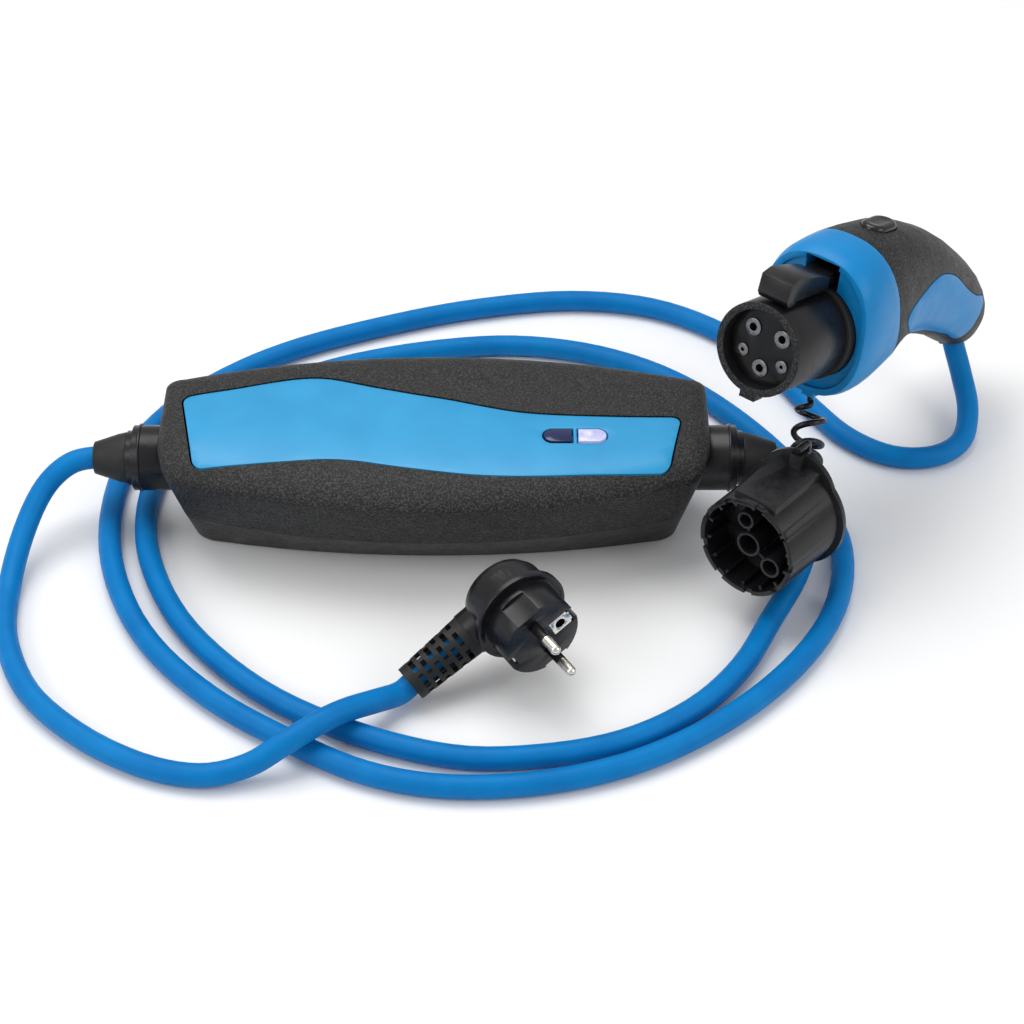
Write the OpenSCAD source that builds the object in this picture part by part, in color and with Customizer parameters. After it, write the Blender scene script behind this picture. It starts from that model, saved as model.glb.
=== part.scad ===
// Portable charging lead for an electric car, in millimetres.
// The control box stands on its base at the origin, with X along its length and Z up.

/* [Control box] */
// Length of the box at its widest line
box_l = 260; // [250:1:275]
// Width of the box at its middle
box_mid_w = 110; // [104:1:118]
// Width of the box at its ends
box_end_w = 68; // [64:1:74]
// Height of the box
box_h = 62; // [60:1:66]
// Height of the seam between cover and housing
seam_z = 27; // [24:1:29]
// Wall of the housing and the cover
box_wall = 3; // [2.5:0.5:4]
// Height of the gland axis
gland_z = 38; // [36:1:40]

/* [Panel] */
// Length of the inlay panel
panel_l = 228; // [216:1:232]
// Width of the inlay panel
panel_w = 68; // [60:1:70]
// Depth of the panel's pocket
panel_t = 2; // [1.5:0.1:2.4]
// Shadow gap round the panel
panel_gap = 0.8; // [0.5:0.1:1.2]
// Distance of the light windows from the middle of the box
window_x = 66; // [50:1:80]
// Length of one light window
window_l = 13; // [10:0.5:16]
// Width of one light window
window_w = 9; // [7:0.5:11]

/* [Leads] */
// Diameter of the blue cable
cable_d = 10.8; // [10:0.1:11]
// Clearance of the cable in a gland or a boot
cable_gap = 0.2; // [0.15:0.05:0.4]
// Diameter of a gland collar
gland_d = 31; // [29:0.5:33]
// Length of a gland collar outside the wall
gland_l = 19; // [16:1:21]
// Outer diameter of the curly lanyard
lanyard_d = 13; // [10:0.5:15]

/* [Plug] */
// Diameter of the plug's face
plug_face_d = 37; // [36:0.5:38]
// Height of the face above the flange
plug_face_h = 17; // [16:0.5:19]
// Diameter of the plug's flange
plug_flange_d = 45; // [43:0.5:48]
// Diameter of a contact pin
pin_d = 4.8; // [4:0.1:5]
// Distance between the pins
pin_pitch = 19; // [18:0.5:20]
// Length of a pin beyond the face
pin_l = 19; // [17:0.5:20]
// Length of the slotted boot
plug_boot_l = 34; // [32:1:36]

/* [Connector nose] */
// Diameter of the nose
nose_d = 43.8; // [43:0.1:45]
// Wall of the nose
nose_wall = 3.4; // [3:0.1:4]
// Length of the nose in front of its seal
nose_l = 40; // [38:1:42]
// Depth of the contacts behind the rim
contact_depth = 6; // [4:0.5:8]
// Outer diameter of a power contact
power_d = 8.2; // [7.6:0.1:8.6]
// Bore of a power contact
power_bore = 3.7; // [3.6:0.05:4]
// Outer diameter of a signal contact
signal_d = 6; // [5.4:0.1:6.4]
// Bore of a signal contact
signal_bore = 1.6; // [1.5:0.05:2]

/* [Connector grip] */
// Wall of the shells
shell_wall = 3; // [2.5:0.1:3.4]
// Gap between the blue shell and the grip
shell_gap = 0.3; // [0.2:0.05:0.5]
// Depth of the inlay's pocket
inlay_t = 1.4; // [1:0.1:1.8]
// Gap round the inlay
inlay_gap = 0.4; // [0.3:0.05:0.6]
// Width of the latch bar
latch_w = 12; // [10:0.5:13]
// Width of the latch hook
hook_w = 16; // [14:0.5:18]
// Distance of the latch pin behind the nose rim
pivot_x = 62; // [61:0.5:64]
// Height of the latch pin above the nose axis
pivot_z = 27; // [26:0.5:28]
// Diameter of the latch pin
pivot_d = 3; // [2.5:0.1:3.4]
// Running clearance of the latch on its pin
pivot_gap = 0.05; // [0.03:0.01:0.08]
// Distance of the push button behind the nose rim
button_x = 86; // [85:0.5:88]
// Length of the push button
button_l = 20; // [18:0.5:22]
// Width of the push button
button_w = 13; // [12:0.5:14]
// Gap round the push button
button_gap = 0.5; // [0.4:0.05:0.8]

/* [Dust cap] */
// Bore of the dust cap
cap_bore = 44.6; // [44.2:0.1:46]
// Wall of the dust cap
cap_wall = 2.2; // [2:0.1:2.6]
// Length of the dust cap
cap_l = 42; // [38:1:44]
// Number of ribs inside the cap
cap_ribs = 14; // [10:1:18]

/* [Hidden] */
$fn = 64;
eps = 0.01;
black = [0.13, 0.13, 0.13];
smooth_black = [0.07, 0.07, 0.08];
panel_blue = [0.15, 0.55, 0.83];
cable_blue = [0.0, 0.4, 0.75];
nickel = [0.75, 0.73, 0.68];

// Where the plug, the connector and the cap lie
plug_pos = [50, -124, 36];
plug_turn = -58;
plug_roll = 26;
connector_pos = [146, -28, 122];
connector_tilt = 15;
connector_turn = 50;
cap_pos = [142, -74, 45];
cap_tilt = 5;
cap_turn = 52;

function unit(v) = v / norm(v);

// A rounded outline of half sizes a and b, squarer as n grows
function rounded(a, b, n, count) = [
    for (i = [0:count - 1]) let (
        t = 360 * i / count,
        r = pow(pow(abs(cos(t)), n) + pow(abs(sin(t)), n), -1 / n)
    ) [a * r * cos(t), b * r * sin(t)]
];

// A solid stretched over rings that have the same number of points
module skin(rings) {
    count = len(rings[0]);
    last = len(rings) - 1;
    polyhedron(
        points = [for (ring = rings) each ring],
        faces = concat(
            [[for (i = [0:count - 1]) i]],
            [for (j = [0:last - 1], i = [0:count - 1])
                let (k = (i + 1) % count)
                [j * count + i, (j + 1) * count + i, (j + 1) * count + k, j * count + k]],
            [[for (i = [count - 1:-1:0]) last * count + i]]
        ),
        convexity = 6
    );
}

// A round tube along a route
function route_tangent(route, i) = unit(route[min(i + 1, len(route) - 1)] - route[max(i - 1, 0)]);
function route_ring(route, i, r, sides) = let (
    along = route_tangent(route, i),
    side = unit(cross(along, [0, 0, 1])),
    top = cross(side, along)
) [for (k = [0:sides - 1]) let (t = -360 * k / sides) route[i] + r * (cos(t) * side + sin(t) * top)];
module tube(route, d, sides) skin([for (i = [0:len(route) - 1]) route_ring(route, i, d / 2, sides)]);

// An open row of points or rings, and a closed outline, drawn smoothly through what is given
function between(a, b, c, d, t) = 0.5 * (2 * b + (c - a) * t + (2 * a - 5 * b + 4 * c - d) * t * t
    + (3 * b - a - 3 * c + d) * t * t * t);
function flowing(list, steps) = let (n = len(list) - 1) concat([for (i = [0:n - 1], k = [0:steps - 1])
    between(list[max(i - 1, 0)], list[i], list[i + 1], list[min(i + 2, n)], k / steps)], [list[n]]);
function smoothed(list, steps) = let (n = len(list)) [for (i = [0:n - 1], k = [0:steps - 1])
    between(list[(i + n - 1) % n], list[i], list[(i + 1) % n], list[(i + 2) % n], k / steps)];

// Box outline at one level: wider in the middle than at its ends, with rounded corners
box_square = 8;
box_shares = [1, 0.994, 0.972, 0.93, 0.86, 0.74, 0.58, 0.4, 0.2, 0];
box_steps = len(box_shares) - 1;
box_outline = [for (q = [0:3], i = [0:box_steps - 1]) let (
    s = box_shares[q % 2 == 0 ? i : box_steps - i],
    right = q == 0 || q == 3 ? 1 : -1,
    back = q < 2 ? 1 : -1
) [right * s, back * pow(1 - pow(s, box_square), 1 / box_square)]];
function box_ring(z, inset, shrink, ends_out = 0) = let (
    a = box_l / 2 - inset - shrink,
    middle = box_mid_w / 2 - inset,
    ends = box_end_w / 2 - inset + ends_out
) [for (p = box_outline) [p[0] * a, p[1] * (ends + (middle - ends) * (1 - pow(p[0], 2))), z]];
end_slope = 15;
crown_h = 12;
crown_inset = 5;
foot_inset = 24;
foot_ends = 12;
foot_round = 4;
widest_z = box_h - crown_h;
// Crown of the housing outside and inside, as shares of its height and its inset
crown_out = [[0, 0], [0.35, 0.1], [0.65, 0.33], [0.87, 0.64], [1, 1]];
crown_in = [[0, 0], [0.7, 0.45], [1, 1]];
module housing_form(inset, crown) skin(concat(
    [box_ring(seam_z, 3 + inset, end_slope - 3)],
    [for (c = crown) box_ring(widest_z + (crown_h - inset) * c[0], crown_inset * c[1] + inset, 3 * c[1])]
));
module cover_form(inset) skin([
    box_ring(inset, foot_inset + inset, end_slope - foot_inset, foot_ends),
    box_ring(foot_round, foot_inset - 3 + inset, end_slope - foot_inset, foot_ends),
    box_ring(seam_z, 4 + inset, end_slope - 4)
]);

// Panel outline with its S-curve, as shares of its half length and half width
panel_y = -4;
panel_corner = 5;
panel_points = [[-1, 0.4], [-0.8, 0.68], [-0.48, 0.94], [-0.15, 0.74], [0.18, 0.38], [0.52, 0.22],
    [0.98, 0.18], [0.97, -0.4], [0.88, -0.82], [0.55, -1.08], [0.18, -1.08], [-0.14, -0.96],
    [-0.42, -0.82], [-0.72, -0.8],
    [-0.88, -0.82], [-0.95, -0.3]];
module panel_outline(grow) translate([0, panel_y])
    offset(r = panel_corner) offset(delta = grow - panel_corner)
    polygon(smoothed([for (p = panel_points) [p[0] * panel_l / 2, p[1] * panel_w / 2]], 4));
panel_z = box_h - panel_t;
window_y = -13;
module window_outline(grow, flip) {
    mirror([flip, 0]) {
        translate([-window_l / 2 + window_w / 2, 0]) circle(d = window_w + 2 * grow);
        translate([-window_l / 2 + window_w / 2, -window_w / 2 - grow])
            square([window_l - window_w / 2 + grow, window_w + 2 * grow]);
    }
}
module window_places() {
    for (side = [0, 1])
        translate([window_x + (side * 2 - 1) * (window_l / 2 + 1.6), window_y, 0]) window_outline(0.3, side);
}

// Screw bosses and posts
screw_d = 4;
boss_d = 9;
boss_x = 44;
boss_y = 20;
board_z = 12;
board_t = 1.6;
module at_bosses() for (x = [-boss_x, boss_x], y = [-boss_y, boss_y]) translate([x, y, 0]) children();

gland_gap = 0.15;
gland_neck_d = gland_d - 5;
wall_x = box_l / 2 - 6;
module along_x(x) translate([x, 0, gland_z]) rotate([0, 90, 0]) children();

module upper_housing() color(black) difference() {
    union() {
        difference() {
            housing_form(0, crown_out);
            translate([0, 0, -eps]) housing_form(box_wall, crown_in);
        }
        at_bosses() translate([0, 0, seam_z]) cylinder(d = boss_d, h = box_h - box_wall - seam_z + 1);
    }
    translate([0, 0, panel_z]) linear_extrude(box_h) panel_outline(panel_gap);
    translate([0, 0, box_h / 2]) linear_extrude(box_h) window_places();
    at_bosses() translate([0, 0, seam_z - 1]) cylinder(d = screw_d - 0.4, h = 14);
    for (side = [-1, 1]) along_x(side * box_l / 2 - 30) cylinder(d = gland_d + 2 * gland_gap, h = 60);
}

module base_cover() color(black) difference() {
    union() {
        difference() {
            cover_form(0);
            translate([0, 0, box_wall]) cover_form(box_wall);
        }
        at_bosses() cylinder(d = boss_d, h = seam_z);
        at_bosses() translate([0, 0, box_wall - eps]) cylinder(d = boss_d + 4, h = board_z - box_wall);
    }
    at_bosses() translate([0, 0, -1]) cylinder(d = screw_d + 0.4, h = box_h);
    at_bosses() translate([0, 0, -1]) cylinder(d = screw_d + 4, h = 5);
    for (side = [-1, 1]) along_x(side * box_l / 2 - 30) cylinder(d = gland_d + 2 * gland_gap, h = 60);
}

seal_t = 1.4;
seal_inset = box_wall + 3.6;
module seal_ring(inset, h) skin([box_ring(0, inset, end_slope), box_ring(h, inset, end_slope)]);
module housing_seal() color(smooth_black) difference() {
    translate([0, 0, seam_z]) seal_ring(seal_inset, seal_t);
    translate([0, 0, seam_z - 1]) seal_ring(seal_inset + 2, seal_t + 2);
    for (side = [-1, 1]) along_x(side * box_l / 2 - 40) cylinder(d = gland_d + 2 * gland_gap, h = 80);
}

module cover_screws() color(nickel) at_bosses() {
    cylinder(d = screw_d - 0.4, h = seam_z + 10);
    translate([0, 0, 1]) cylinder(d = screw_d + 3.4, h = 3);
}

module front_panel() color(panel_blue) difference() {
    translate([0, 0, panel_z]) linear_extrude(panel_t - 0.2) panel_outline(0);
    translate([0, 0, box_h / 2]) linear_extrude(box_h) window_places();
}

board_top = board_z + board_t;
module light_window(flip) {
    translate([window_x + (flip * 2 - 1) * (window_l / 2 + 1.6), window_y, 0]) {
        translate([0, 0, panel_z - 3]) linear_extrude(panel_t + 3) window_outline(0, flip);
        translate([0, 0, board_top]) cylinder(d = window_w - 3, h = panel_z - board_top);
    }
}
module status_window_left() color([0.05, 0.08, 0.3]) light_window(0);
module status_window_right() color([0.85, 0.87, 1]) light_window(1);

board_l = 156;
board_w = 50;
module control_board() color([0.05, 0.35, 0.2]) difference() {
    translate([-board_l / 2, -board_w / 2, board_z]) cube([board_l, board_w, board_t]);
    at_bosses() cylinder(d = boss_d + 0.6, h = seam_z);
}
module mains_relays() color(smooth_black) for (y = [-1, 1])
    translate([-30, y * 13 - 8, board_top]) cube([29, 16, 24]);
sensor_d = 28;
module current_sensor() color([0.2, 0.2, 0.25])
    translate([-52, 0, board_top + sensor_d / 2]) rotate([0, 90, 0]) difference() {
        cylinder(d = sensor_d, h = 12);
        translate([0, 0, -1]) cylinder(d = sensor_d / 2, h = 14);
    }
module terminal_blocks() color([0.3, 0.6, 0.3]) for (x = [-76, 62])
    translate([x, -9, board_top]) difference() {
        cube([14, 30, 12]);
        for (k = [0:2]) translate([-1, 5 + 10 * k, 6]) rotate([0, 90, 0]) cylinder(d = 4.5, h = 16);
    }

// Gland: a collar screwed through the end wall, with a step and a thin ring
inside_l = 12;
module gland_form() rotate_extrude() difference() {
    union() {
        translate([0, -inside_l]) square([gland_neck_d / 2, inside_l + 2]);
        translate([0, 0]) square([gland_d / 2, gland_l]);
        translate([0, gland_l - 4]) square([gland_d / 2 + 0.8, 1.2]);
        translate([0, gland_l - eps]) square([gland_d / 2 - 2.5, 3]);
    }
    translate([-1, -inside_l - 1]) square([cable_d / 2 + cable_gap + 1, gland_l + inside_l + 10]);
}
boot_base = gland_l + 3;
boot_l = 16;
module boot_form() rotate_extrude() polygon([
    [cable_d / 2 + cable_gap, boot_base], [gland_d / 2 - 3.2, boot_base], [gland_d / 2 - 4, boot_base + 4],
    [cable_d / 2 + 2.2, boot_base + boot_l], [cable_d / 2 + cable_gap, boot_base + boot_l]
]);
module on_end(side) along_x(side * wall_x) rotate([side > 0 ? 0 : 180, 0, 0]) children();
module gland_left() color(smooth_black) on_end(-1) gland_form();
module gland_right() color(smooth_black) on_end(1) gland_form();
module gland_boot_left() color(smooth_black) on_end(-1) boot_form();
module gland_boot_right() color(smooth_black) on_end(1) boot_form();

// The plug's cable axis, at a distance from the middle of the plug
boot_x = -28.5;
plug_dir = [cos(plug_turn), sin(plug_turn), 0];
plug_exit = [sin(plug_turn) * cos(plug_roll), -cos(plug_turn) * cos(plug_roll), -sin(plug_roll)];
function on_plug_axis(d) = plug_pos + boot_x * plug_dir + d * plug_exit;

// The two leads, from the box outwards
lead_start = wall_x - inside_l;
floor_z = cable_d / 2;
mains_route = [
    [-lead_start, 0, gland_z], [-140, 0, gland_z], [-163, 0, gland_z], [-176, -3, 35], [-187, -13, 27],
    [-195, -33, 15], [-198, -60, floor_z], [-194, -92, floor_z], [-179, -126, floor_z],
    [-153, -153, floor_z],
    [-124, -171, floor_z], [-98, -178, 6], [-77, -175, 9], [-60, -168, 16.4], [-46, -158, 18.6],
    [-35, -149, 17], [-23, -139, 12.5],
    for (d = [63, 52, 24]) on_plug_axis(d)
];
vehicle_route = [
    [lead_start, 0, gland_z], [140, 0, gland_z], [163, 0, gland_z], [173, -3, 35.5], [178, -13, 28],
    [177, -30, 16], [170, -50, 7], [157, -76, floor_z], [140, -110, floor_z], [117, -137, floor_z],
    [85, -157, floor_z],
    [48, -166, floor_z], [10, -166, floor_z], [-34, -151, floor_z], [-76, -125, floor_z],
    [-111, -87, floor_z], [-132, -45, floor_z], [-140, -5, floor_z], [-136, 35, floor_z],
    [-118, 69, floor_z], [-90, 95, floor_z],
    [-53, 116, floor_z], [-8, 130, floor_z], [38, 135, floor_z], [82, 126, floor_z], [120, 104, floor_z],
    [153, 68, floor_z], [179, 24, floor_z], [193, -22, floor_z], [188, -65, floor_z], [168, -104, floor_z],
    [135, -140, floor_z], [95, -167, floor_z], [53, -181, floor_z], [10, -184, floor_z],
    [-26, -176, floor_z],
    [-60, -157, floor_z], [-97, -130, floor_z], [-128, -95, floor_z], [-148, -54, floor_z],
    [-157, -10, floor_z], [-154, 38, floor_z], [-138, 76, floor_z], [-110, 108, floor_z],
    [-75, 133, floor_z], [-25, 155, floor_z],
    [20, 169, floor_z], [68, 176, floor_z], [112, 169, floor_z], [148, 146, floor_z], [172, 114, floor_z],
    [190, 80, floor_z], [206, 56, floor_z], [226, 42, floor_z], [247, 42, floor_z], [262, 54, 6],
    [267, 72, 12], [265, 89, 21], [261, 101, 33], [258, 109, 46]
];
cable_sides = 10;
module mains_lead() color(cable_blue) tube(mains_route, cable_d, cable_sides);
module vehicle_lead() color(cable_blue) tube(vehicle_route, cable_d, cable_sides);

// Angled plug: its face points along X, its cable leaves along -Y
flange_t = 3;
dome_x = -40;
sleeve_d = 21;
sleeve_l = 23;
module in_plug() translate(plug_pos) rotate([plug_roll, 0, plug_turn]) children();
module turned_x() rotate([0, 90, 0]) rotate_extrude() children();
module cable_side(y) translate([boot_x, y, 0]) rotate([90, 0, 0]) children();
module plug_body() color(smooth_black) in_plug() difference() {
    union() {
        turned_x() polygon([
            [0, -plug_face_h], [plug_flange_d / 2, -plug_face_h],
            [plug_flange_d / 2, -plug_face_h - flange_t],
            [plug_flange_d / 2 - 2.5, -plug_face_h - flange_t - 1], [plug_flange_d / 2 - 3, dome_x + 8],
            [plug_flange_d / 2 - 5, dome_x + 3.5], [plug_flange_d / 2 - 9, dome_x + 0.8], [0, dome_x]
        ]);
        cable_side(0) cylinder(d = sleeve_d, h = sleeve_l);
    }
    translate([-plug_face_h - 0.4, 0, 0]) turned_x() difference() {
        square([plug_flange_d / 2 - 1.6, 2]);
        translate([-1, -1]) square([plug_face_d / 2 + 1, 4]);
    }
    cable_side(eps) cylinder(d = cable_d + 2 * cable_gap, h = sleeve_l + 1);
}

notch_w = 6;
pin_root = 12;
pin_step = 0.8;
notch_d = 3.5;
module plug_face() color(black) in_plug() difference() {
    translate([-plug_face_h, 0, 0]) rotate([0, 90, 0]) cylinder(d = plug_face_d, h = plug_face_h);
    for (side = [-1, 1]) {
        translate([-plug_face_h - 1, side * plug_face_d / 2 - notch_d, -notch_w / 2])
            cube([plug_face_h + 2, 2 * notch_d, notch_w]);
        translate([-plug_face_h + 4, -6, side * (plug_face_d / 2 + 1) - 3]) cube([plug_face_h, 12, 6]);
        translate([-pin_root, 0, side * pin_pitch / 2]) rotate([0, 90, 0])
            cylinder(d = pin_d - pin_step, h = pin_root + 1);
    }
    translate([-plate_t, plug_face_d / 2 - plate_l - notch_d, -plate_w / 2 - 0.2])
        cube([2, plate_l + 1, plate_w + 0.4]);
    translate([-pin_root, earth_y, 0]) rotate([0, 90, 0]) cylinder(d = pin_d + 0.6, h = 14);
}

module plug_pins() color(nickel) in_plug() for (side = [-1, 1]) translate([0, 0, side * pin_pitch / 2]) {
    axis_x(-pin_root) cylinder(d = pin_d - pin_step, h = pin_root);
    axis_x(0) cylinder(d = pin_d, h = pin_l - pin_d / 2);
    translate([pin_l - pin_d / 2, 0, 0]) sphere(d = pin_d);
}

plate_t = 1;
plate_l = 9.5;
plate_w = 8;
strip_w = notch_w - 0.6;
earth_y = plug_face_d / 2 - notch_d - plate_l / 2;
module plug_earth_contacts() color(nickel) in_plug() {
    difference() {
        union() {
            translate([-plate_t, plug_face_d / 2 - plate_l - notch_d, -plate_w / 2])
                cube([plate_t, plate_l, plate_w]);
            translate([-plug_face_h, plug_face_d / 2 - notch_d, -strip_w / 2])
                cube([plug_face_h, plate_t, strip_w]);
        }
        translate([-4, earth_y, 0]) rotate([0, 90, 0]) cylinder(d = pin_d, h = 8);
    }
    translate([-plug_face_h, -plug_face_d / 2 + notch_d - plate_t, -strip_w / 2])
        cube([plug_face_h - 1, plate_t, strip_w]);
}

slot_rows = 6;
slot_w = 2.4;
slot_l = 6.8;
slot_step = 4.6;
tip_d = cable_d + 6;
module plug_boot() color(smooth_black) in_plug() cable_side(-sleeve_l) difference() {
    cylinder(d1 = sleeve_d - 1, d2 = tip_d, h = plug_boot_l);
    translate([0, 0, -1]) cylinder(d = cable_d + 2 * cable_gap, h = plug_boot_l + 2);
    for (row = [0:slot_rows - 1], turn = [0:60:300])
        rotate([0, 0, turn + 30 * (row % 2)]) translate([cable_d / 2, -slot_l / 2, 4 + slot_step * row])
            cube([10, slot_l, slot_w]);
}

// Vehicle connector: X runs from the nose rim back to the grip, Z is its upper side
module in_connector() translate(connector_pos) rotate([0, connector_tilt, connector_turn]) children();
module axis_x(x) translate([x, 0, 0]) rotate([0, 90, 0]) children();
grip_points = 40;
grip_square = 2.5;
// One ring of the shell: centre, half width, half height and lean of its plane
function station(x, z, w, h, lean) = [for (p = rounded(w, h, grip_square, grip_points))
    [x - p[1] * sin(lean), p[0], z + p[1] * cos(lean)]];
function shell_rings(in) = flowing([
    station(44, 2, 28.5 - in, 34.5 - in, 6), station(50, 3, 30 - in, 36.5 - in, 8),
    station(62, 5, 29.5 - in, 37.5 - in, 14), station(76, 8, 27.5 - in, 37.5 - in, 22)
], 2);
function grip_rings(in) = flowing([
    station(76 + shell_gap, 8, 27.5 - in, 37.5 - in, 22), station(98, 10.5, 24.5 - in, 31.5 - in, 6),
    station(122, 7, 22.5 - in, 26.5 - in, -12), station(148, -3, 20.5 - in, 23 - in, -24),
    station(172, -15, 19 - in, 20 - in, -32), station(188, -26, 17 - in, 17 - in, -37),
    station(197 - in / 2, -32.5, 13 - in, 12.5 - in, -39),
    station(201 - in, -35.5, 7 - in / 2, 6 - in / 2, -40)
], 2);
wall_front = 52;
seal_d = nose_d + 3;
seal_l = 3;
frame_r = 19;
frame_l = 30;
ear_t = 3;
ear_gap = 0.4;
spring_top = 24.5;
spring_seat = 15;
rear_x = nose_l + seal_l;

module front_shell() color(panel_blue) in_connector() difference() {
    union() {
        difference() {
            skin(shell_rings(0));
            skin([station(43, 2, 25.5, 31.5, 6), station(wall_front, 3, 26.5, 33, 8)]);
            skin([station(wall_front + shell_wall, 4, 26, 33, 9), station(64, 5.5, 26.5, 34, 14),
                station(77, 8, 24.5, 34.5, 22)]);
        }
        translate([57, -3, -38.5]) cube([6, 6, 8]);
    }
    axis_x(30) cylinder(d = seal_d + 0.2, h = 40);
    translate([40, -hook_w / 2 - 1, spring_top - 2]) cube([20, hook_w + 2, 12.5]);
}

module grip_shell() color(black) difference() {
    in_connector() difference() {
        skin(grip_rings(0));
        skin(concat([station(74, 7.8, 27.6 - shell_wall, 37.8 - shell_wall, 22)],
            [for (i = [1:len(grip_rings(0)) - 1]) grip_rings(shell_wall)[i]]));
        translate([button_x, 0, 20]) linear_extrude(40) button_outline(button_gap);
        for (side = [-1, 1]) inlay_form(side, inlay_t, inlay_gap, 4);
    }
    on_boot_axis() cylinder(d = boot_end_d + 0.4, h = 60, center = true);
}

// Leaf outline of the inlay, seen from the side
leaf_points = [[88, 4], [102, 14], [119, 18], [138, 13], [158, 1], [172, -6], [185, -11],
    [181, -22], [172, -31], [160, -26], [146, -21], [128, -15], [106, -9]];
module leaf(grow) offset(delta = grow) polygon(smoothed(leaf_points, 4));
module inlay_form(side, depth, grow, out) difference() {
    rotate([90, 0, 0]) translate([0, 0, side > 0 ? 0 : -40]) linear_extrude(40) leaf(grow);
    skin(grip_rings(depth));
    if (out < 1) difference() {
        translate([60, -50, -60]) cube([160, 100, 120]);
        skin(grip_rings(-out));
    }
}
module grip_inlay_left() color(panel_blue) in_connector() inlay_form(-1, inlay_t - 0.05, 0, 0.3);
module grip_inlay_right() color(panel_blue) in_connector() inlay_form(1, inlay_t - 0.05, 0, 0.3);

cavity_l = 22;
module nose() color(smooth_black) in_connector() difference() {
    union() {
        axis_x(0) cylinder(d = nose_d, h = nose_l);
        translate([0, -4, -nose_d / 2 - 2.6]) cube([7, 8, 6]);
        axis_x(nose_l - eps) cylinder(r = frame_r, h = frame_l);
        translate([rear_x + 12, -7, 4]) cube([button_x + 7 - rear_x - 12, 14, spring_seat - 4]);
        for (side = [-1, 1]) translate([pivot_x, side * (latch_w / 2 + ear_gap + ear_t / 2) - ear_t / 2, 0]) {
            translate([-4, 0, 4]) cube([8, ear_t, pivot_z - 4]);
            translate([0, 0, pivot_z]) rotate([-90, 0, 0]) cylinder(d = 8, h = ear_t);
        }
    }
    axis_x(-1) cylinder(d = nose_d - 2 * nose_wall, h = cavity_l + 1);
    translate([pivot_x, 20, pivot_z]) rotate([90, 0, 0]) cylinder(d = pivot_d + 0.02, h = 40);
    translate([rear_x + 8, -latch_w / 2 - ear_gap, spring_seat]) cube([60, latch_w + 2 * ear_gap, 30]);
    axis_x(cavity_l + 3) cylinder(d = 22, h = 60);
}

power_places = [[7.85, 6.8], [-7.85, 6.8], [0, -10.6]];
signal_places = [[10.65, -5.6], [-10.65, -5.6]];
module at_contacts(places, x) for (p = places) translate([x, p[0], p[1]]) rotate([0, 90, 0]) children();
contact_l = 14;
module contact_carrier() color(smooth_black) in_connector() difference() {
    axis_x(contact_depth) cylinder(d = nose_d - 2 * nose_wall, h = cavity_l - contact_depth);
    at_contacts(power_places, contact_depth - 1) cylinder(d = power_d, h = contact_l + 1);
    at_contacts(signal_places, contact_depth - 1) cylinder(d = signal_d, h = contact_l + 1);
}
rim_step = 0.6;
module contacts(places, d, bore) in_connector() at_contacts(places, contact_depth - rim_step) difference() {
    cylinder(d = d, h = contact_l + rim_step);
    translate([0, 0, -1]) cylinder(d = bore, h = contact_l);
}
module power_contacts() color(nickel) contacts(power_places, power_d, power_bore);
module signal_contacts() color(nickel) contacts(signal_places, signal_d, signal_bore);
module nose_seal() color(smooth_black) in_connector() axis_x(nose_l) difference() {
    cylinder(d = seal_d, h = wall_front + shell_wall - nose_l);
    translate([0, 0, -1]) cylinder(r = frame_r, h = 30);
    translate([-seal_d, -hook_w / 2 - 1, -1]) cube([seal_d - spring_top + 2, hook_w + 2, 30]);
}

latch_rear = button_x + 6;
latch_top = spring_top + 6;
module latch_lever() color(smooth_black) in_connector() difference() {
    union() {
        translate([0, latch_w / 2, 0]) rotate([90, 0, 0]) linear_extrude(latch_w) polygon([
            [20, spring_top], [latch_rear, spring_top], [latch_rear, spring_top + 4],
            [pivot_x + 8, latch_top], [20, latch_top]
        ]);
        translate([0, hook_w / 2, 0]) rotate([90, 0, 0]) linear_extrude(hook_w) polygon([
            [2, 25.5], [2.6, 34], [9, 35.8], [30, 32.4], [36, latch_top], [36, spring_top],
            [10, spring_top], [9, 22.8], [4, 22.8]
        ]);
    }
    translate([pivot_x, 20, pivot_z]) rotate([90, 0, 0]) cylinder(d = pivot_d + 2 * pivot_gap, h = 40);
}
module latch_pin() color(nickel) in_connector() translate([pivot_x, latch_w / 2 + ear_gap + ear_t, pivot_z])
    rotate([90, 0, 0]) cylinder(d = pivot_d, h = latch_w + 2 * ear_gap + 2 * ear_t);

// Coil spring under the rear end of the latch
spring_r = 3.4;
wire_d = 0.9;
spring_turns = 4;
function spring_route() = [for (i = [0:12 * spring_turns]) let (t = 30 * i)
    [button_x + spring_r * cos(t), spring_r * sin(t),
    spring_seat + 0.5 + (spring_top - spring_seat - 1) * i / (12 * spring_turns)]];
module latch_spring() color(nickel) in_connector() tube(spring_route(), wire_d, 6);

button_top = 44.6;
module button_outline(grow) {
    translate([-(button_l - button_w) / 2, 0]) circle(d = button_w + 2 * grow);
    translate([(button_l - button_w) / 2, 0]) circle(d = button_w + 2 * grow);
    square([button_l - button_w, button_w + 2 * grow], center = true);
}
module release_button() color(smooth_black) in_connector() translate([button_x, 0, 0]) {
    translate([0, 0, 37]) linear_extrude(button_top - 38.2) button_outline(0);
    translate([0, 0, button_top - 1.2 - eps]) linear_extrude(0.8) button_outline(-0.7);
    translate([0, 0, button_top - 0.4 - 2 * eps]) linear_extrude(0.5) button_outline(-1.8);
    translate([0, 0, 35.8]) linear_extrude(1.4) button_outline(1.4);
    translate([0, 0, spring_top + 5.4]) cylinder(d = 7, h = 36 - spring_top - 5.4);
}

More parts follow.
